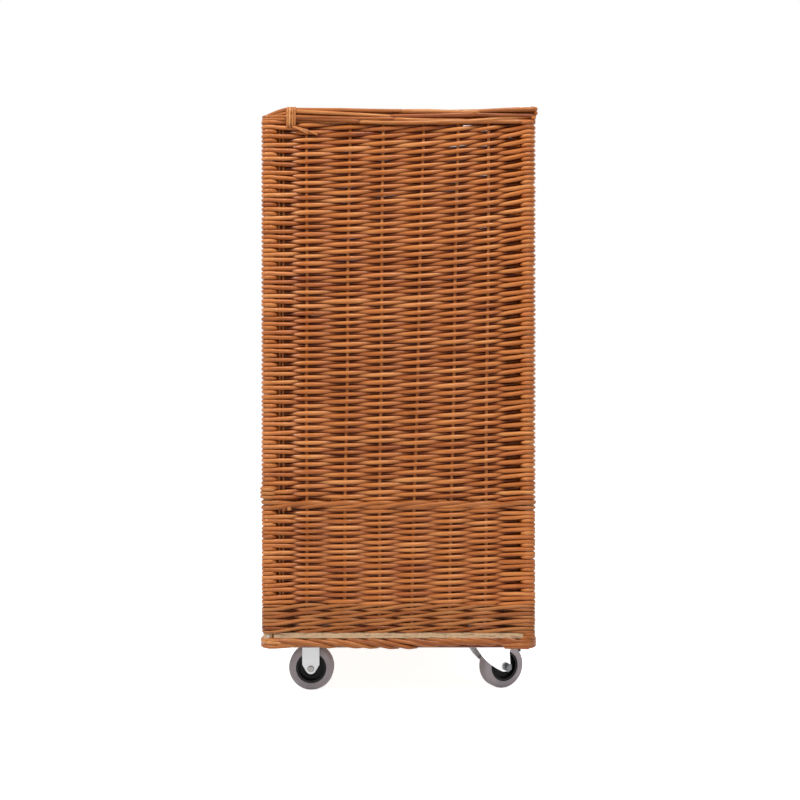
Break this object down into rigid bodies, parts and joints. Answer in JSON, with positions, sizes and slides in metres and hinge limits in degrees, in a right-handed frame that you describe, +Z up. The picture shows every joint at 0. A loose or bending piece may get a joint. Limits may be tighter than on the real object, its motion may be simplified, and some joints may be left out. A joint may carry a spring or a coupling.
{
  "type": "bread display cart",
  "caption": "Tall rectangular willow basket on castors, open at the top and front, for displaying bread; fixed front wheels, swivelling rear wheels with brakes.",
  "frame": {"origin": "on the floor under the middle of the cart", "axes": "+Z up, +X to the right of someone facing the open front, +Y from the open front to the back"},
  "size_m": [0.606, 0.451, 0.9605],
  "materials": {
    "willow_weave": "buff willow, satin",
    "willow_border": "buff willow, satin",
    "willow_stake": "buff willow, satin",
    "willow_tie": "buff willow, satin",
    "peeled_post": "peeled willow pole",
    "plywood": "raw birch plywood",
    "nail_steel": "dull",
    "zinc_sheet": "bright zinc plate",
    "zinc_fastener": "zinc plate",
    "bearing_steel": "polished",
    "black_pin": "black",
    "black_rubber": "matt",
    "black_plastic": "matt moulded",
    "grey_rubber": "matt grey rubber"
  },
  "bodies": {
    "basket": {"back_post_wraps": "willow_weave", "back_posts": "peeled_post", "back_stakes": "willow_stake", "base_board": "plywood", "border_ties": "willow_tie", "castor_bolts": "zinc_fastener", "castor_nuts": "zinc_fastener", "castor_washers": "zinc_fastener", "corner_nails": "nail_steel", "fixed_bracket_left": "zinc_sheet", "fixed_bracket_right": "zinc_sheet", "foot_border": "willow_border", "front_axle_rivets": "zinc_fastener", "front_axle_sleeves": "zinc_fastener", "front_border": "willow_border", "front_post_wraps": "willow_weave", "front_posts": "peeled_post", "front_stakes": "willow_stake", "kingpins": "bearing_steel", "lower_weave_back": "willow_weave", "lower_weave_front": "willow_weave", "lower_weave_left": "willow_weave", "lower_weave_right": "willow_weave", "middle_wale": "willow_border", "side_stakes_left": "willow_stake", "side_stakes_right": "willow_stake", "swivel_balls": "bearing_steel", "swivel_plates": "zinc_sheet", "top_border_back": "willow_border", "top_border_left": "willow_border", "top_border_right": "willow_border", "upper_weave_back": "willow_weave", "upper_weave_left": "willow_weave", "upper_weave_right": "willow_weave", "upsett_wale": "willow_border"},
    "wheel_front_left": {"hub_front_left": "black_plastic", "tyre_front_left": "grey_rubber"},
    "fork_back_left": {"swivel_fork_left": "zinc_sheet", "axle_bolt_left": "zinc_fastener", "axle_nut_left": "zinc_fastener", "axle_sleeve_back_left": "zinc_fastener", "brake_pins_left": "black_pin"},
    "wheel_back_left": {"hub_back_left": "black_plastic", "tyre_back_left": "grey_rubber"},
    "brake_back_left": {"brake_lever_left": "zinc_sheet", "brake_shoe_left": "black_rubber"},
    "wheel_front_right": {"hub_front_right": "black_plastic", "tyre_front_right": "grey_rubber"},
    "fork_back_right": {"swivel_fork_right": "zinc_sheet", "axle_bolt_right": "zinc_fastener", "axle_nut_right": "zinc_fastener", "axle_sleeve_back_right": "zinc_fastener", "brake_pins_right": "black_pin"},
    "wheel_back_right": {"hub_back_right": "black_plastic", "tyre_back_right": "grey_rubber"},
    "brake_back_right": {"brake_lever_right": "zinc_sheet", "brake_shoe_right": "black_rubber"}
  },
  "joints": [
    {"name": "front_wheel_left_roll", "type": "hinge", "parent": "basket", "child": "wheel_front_left", "pos_m": [-0.225, -0.146, 0.0375], "axis": [1, 0, 0], "continuous": true},
    {"name": "back_castor_left_swivel", "type": "hinge", "parent": "basket", "child": "fork_back_left", "pos_m": [-0.225, 0.146, 0.0928], "axis": [0, 0, 1], "continuous": true},
    {"name": "back_wheel_left_roll", "type": "hinge", "parent": "fork_back_left", "child": "wheel_back_left", "pos_m": [-0.21232, 0.17319, 0.0375], "axis": [0.9063, -0.4226, 0], "continuous": true},
    {"name": "brake_left_release", "type": "hinge", "parent": "fork_back_left", "child": "brake_back_left", "pos_m": [-0.21131, 0.17536, 0.0737], "axis": [0.9063, -0.4226, 0], "range_deg": [0, 15]},
    {"name": "front_wheel_right_roll", "type": "hinge", "parent": "basket", "child": "wheel_front_right", "pos_m": [0.225, -0.146, 0.0375], "axis": [1, 0, 0], "continuous": true},
    {"name": "back_castor_right_swivel", "type": "hinge", "parent": "basket", "child": "fork_back_right", "pos_m": [0.225, 0.146, 0.0928], "axis": [0, 0, 1], "continuous": true},
    {"name": "back_wheel_right_roll", "type": "hinge", "parent": "fork_back_right", "child": "wheel_back_right", "pos_m": [0.21232, 0.17319, 0.0375], "axis": [0.9063, 0.4226, 0], "continuous": true},
    {"name": "brake_right_release", "type": "hinge", "parent": "fork_back_right", "child": "brake_back_right", "pos_m": [0.21131, 0.17536, 0.0737], "axis": [0.9063, 0.4226, 0], "range_deg": [0, 15]}
  ]
}
